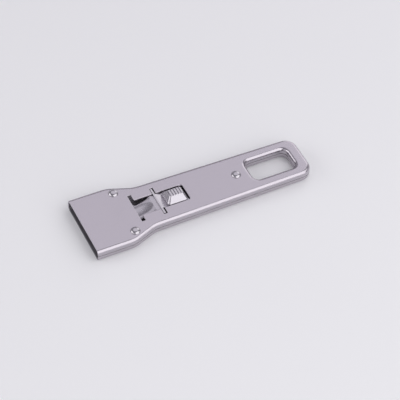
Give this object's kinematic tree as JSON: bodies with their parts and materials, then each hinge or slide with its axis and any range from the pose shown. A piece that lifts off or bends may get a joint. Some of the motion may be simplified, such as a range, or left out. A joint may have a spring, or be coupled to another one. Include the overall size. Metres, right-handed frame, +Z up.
{
  "type": "ceramic hob scraper",
  "caption": "Retractable ceramic hob scraper: two pressed steel shells riveted face to face, a blade carriage inside and a sprung, ribbed thumb button that locks it in notches.",
  "frame": {"origin": "centre of the footprint, on the underside that the scraper lies on", "axes": "+X along the tool towards the blade end, +Y across it, +Z up through the thumb button"},
  "size_m": [0.134, 0.042, 0.0106],
  "materials": {
    "shell_steel": "satin",
    "rivet_steel": "polished",
    "bush_steel": "plain turned",
    "carrier_steel": "satin",
    "blade_steel": "ground",
    "spring_steel": "bright rolled",
    "button_steel": "polished"
  },
  "bodies": {
    "housing": {"top_shell": "shell_steel", "bottom_shell": "shell_steel", "front_rivet_left": "rivet_steel", "front_rivet_right": "rivet_steel", "rear_rivet": "rivet_steel", "guide_bush_left": "bush_steel", "guide_bush_right": "bush_steel", "rear_spacer": "bush_steel"},
    "carriage": {"blade_carrier": "carrier_steel", "blade": "blade_steel", "blade_peg_left": "rivet_steel", "blade_peg_right": "rivet_steel", "spring_rivet_left": "rivet_steel", "spring_rivet_right": "rivet_steel"},
    "button": {"thumb_button": "button_steel", "lock_spring": "spring_steel"}
  },
  "joints": [
    {"name": "blade_slide", "type": "slide", "parent": "housing", "child": "carriage", "axis": [1, 0, 0], "range_m": [0, 0.0131], "deforming": ["lock_spring"]},
    {"name": "button_press", "type": "hinge", "parent": "carriage", "child": "button", "pos_m": [0.0403, 0, 0.00278], "axis": [0, -1, 0], "range_deg": [0, 4.2], "stiffness_Nm_per_rad": 1.5, "springref_deg": -1.15, "deforming": ["lock_spring"]}
  ]
}
